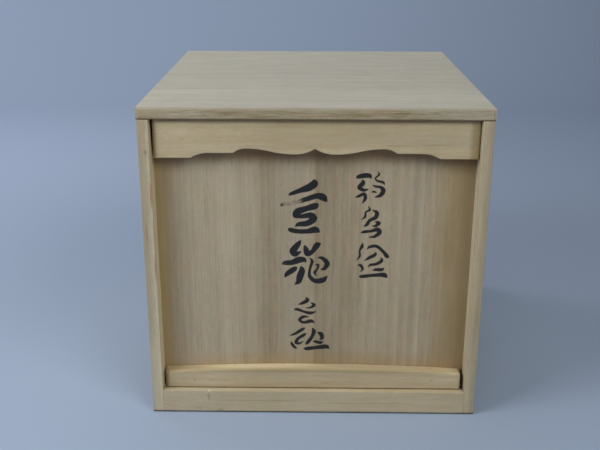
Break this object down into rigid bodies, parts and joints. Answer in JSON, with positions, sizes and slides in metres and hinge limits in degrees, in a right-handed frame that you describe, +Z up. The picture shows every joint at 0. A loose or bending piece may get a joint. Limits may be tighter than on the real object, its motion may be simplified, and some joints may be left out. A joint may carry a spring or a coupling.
{
  "type": "wooden front-opening storage box",
  "caption": "Hollow paulownia wood storage box whose front panel, with a crowned handle rail, drops into a grooved sill behind a scalloped valance.",
  "frame": {"origin": "middle of the underside of the case, on the surface it stands on", "axes": "+Z up, the door at the front faces -Y, +X to the right as seen from the front"},
  "size_m": [0.25, 0.273, 0.241],
  "materials": {
    "top_board": "matte",
    "left_side_board": "matte",
    "right_side_board": "matte",
    "back_board": "matte",
    "bottom_board": "matte",
    "front_sill": "matte",
    "valance": "matte",
    "upper_door_stop": "matte",
    "door_panel": "matte",
    "door_handle_rail": "matte"
  },
  "bodies": {
    "root": {"top_board": "top_board", "left_side_board": "left_side_board", "right_side_board": "right_side_board", "back_board": "back_board", "bottom_board": "bottom_board", "front_sill": "front_sill", "valance": "valance", "upper_door_stop": "upper_door_stop", "door_panel": "door_panel", "door_handle_rail": "door_handle_rail"}
  },
  "joints": []
}
